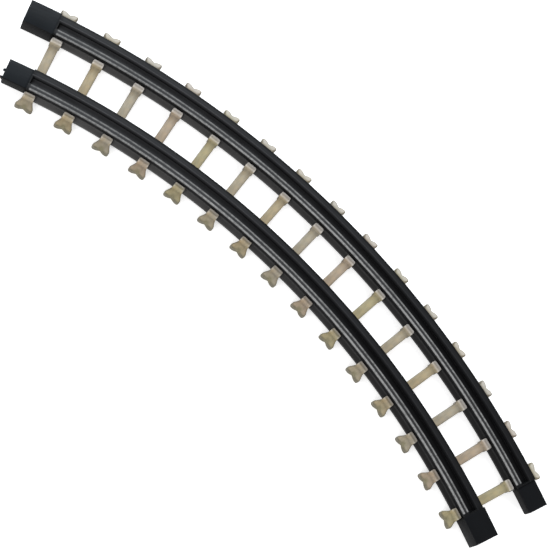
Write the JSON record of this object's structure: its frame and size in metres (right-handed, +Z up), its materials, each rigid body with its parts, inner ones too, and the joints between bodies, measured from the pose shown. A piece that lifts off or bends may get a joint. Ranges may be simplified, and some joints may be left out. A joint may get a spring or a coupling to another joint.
{
  "type": "model railway curved track section",
  "caption": "Curved toy railway track section: black moulded rails with plug-and-socket ends, clipped to bone-shaped ties.",
  "frame": {"origin": "on the resting surface, under the middle of the section's bounding box", "axes": "+X along the chord between the section's ends, +Y towards the outside of the curve, +Z up"},
  "size_m": [0.4906, 0.1214, 0.0132],
  "materials": {
    "rail_black": "satin black moulded plastic",
    "connector_black": "satin black moulded plastic",
    "tie_bone": "matt bone-coloured moulded plastic"
  },
  "bodies": {
    "root": {"outer_rail": "rail_black", "inner_rail": "rail_black", "outer_socket": "connector_black", "inner_socket": "connector_black", "outer_tongue": "connector_black", "inner_tongue": "connector_black", "outer_snap_finger_1": "connector_black", "outer_snap_finger_2": "connector_black", "inner_snap_finger_1": "connector_black", "inner_snap_finger_2": "connector_black", "tie_01": "tie_bone", "tie_02": "tie_bone", "tie_03": "tie_bone", "tie_04": "tie_bone", "tie_05": "tie_bone", "tie_06": "tie_bone", "tie_07": "tie_bone", "tie_08": "tie_bone", "tie_09": "tie_bone", "tie_10": "tie_bone", "tie_11": "tie_bone", "tie_12": "tie_bone", "tie_13": "tie_bone", "tie_14": "tie_bone", "tie_15": "tie_bone"}
  },
  "joints": []
}
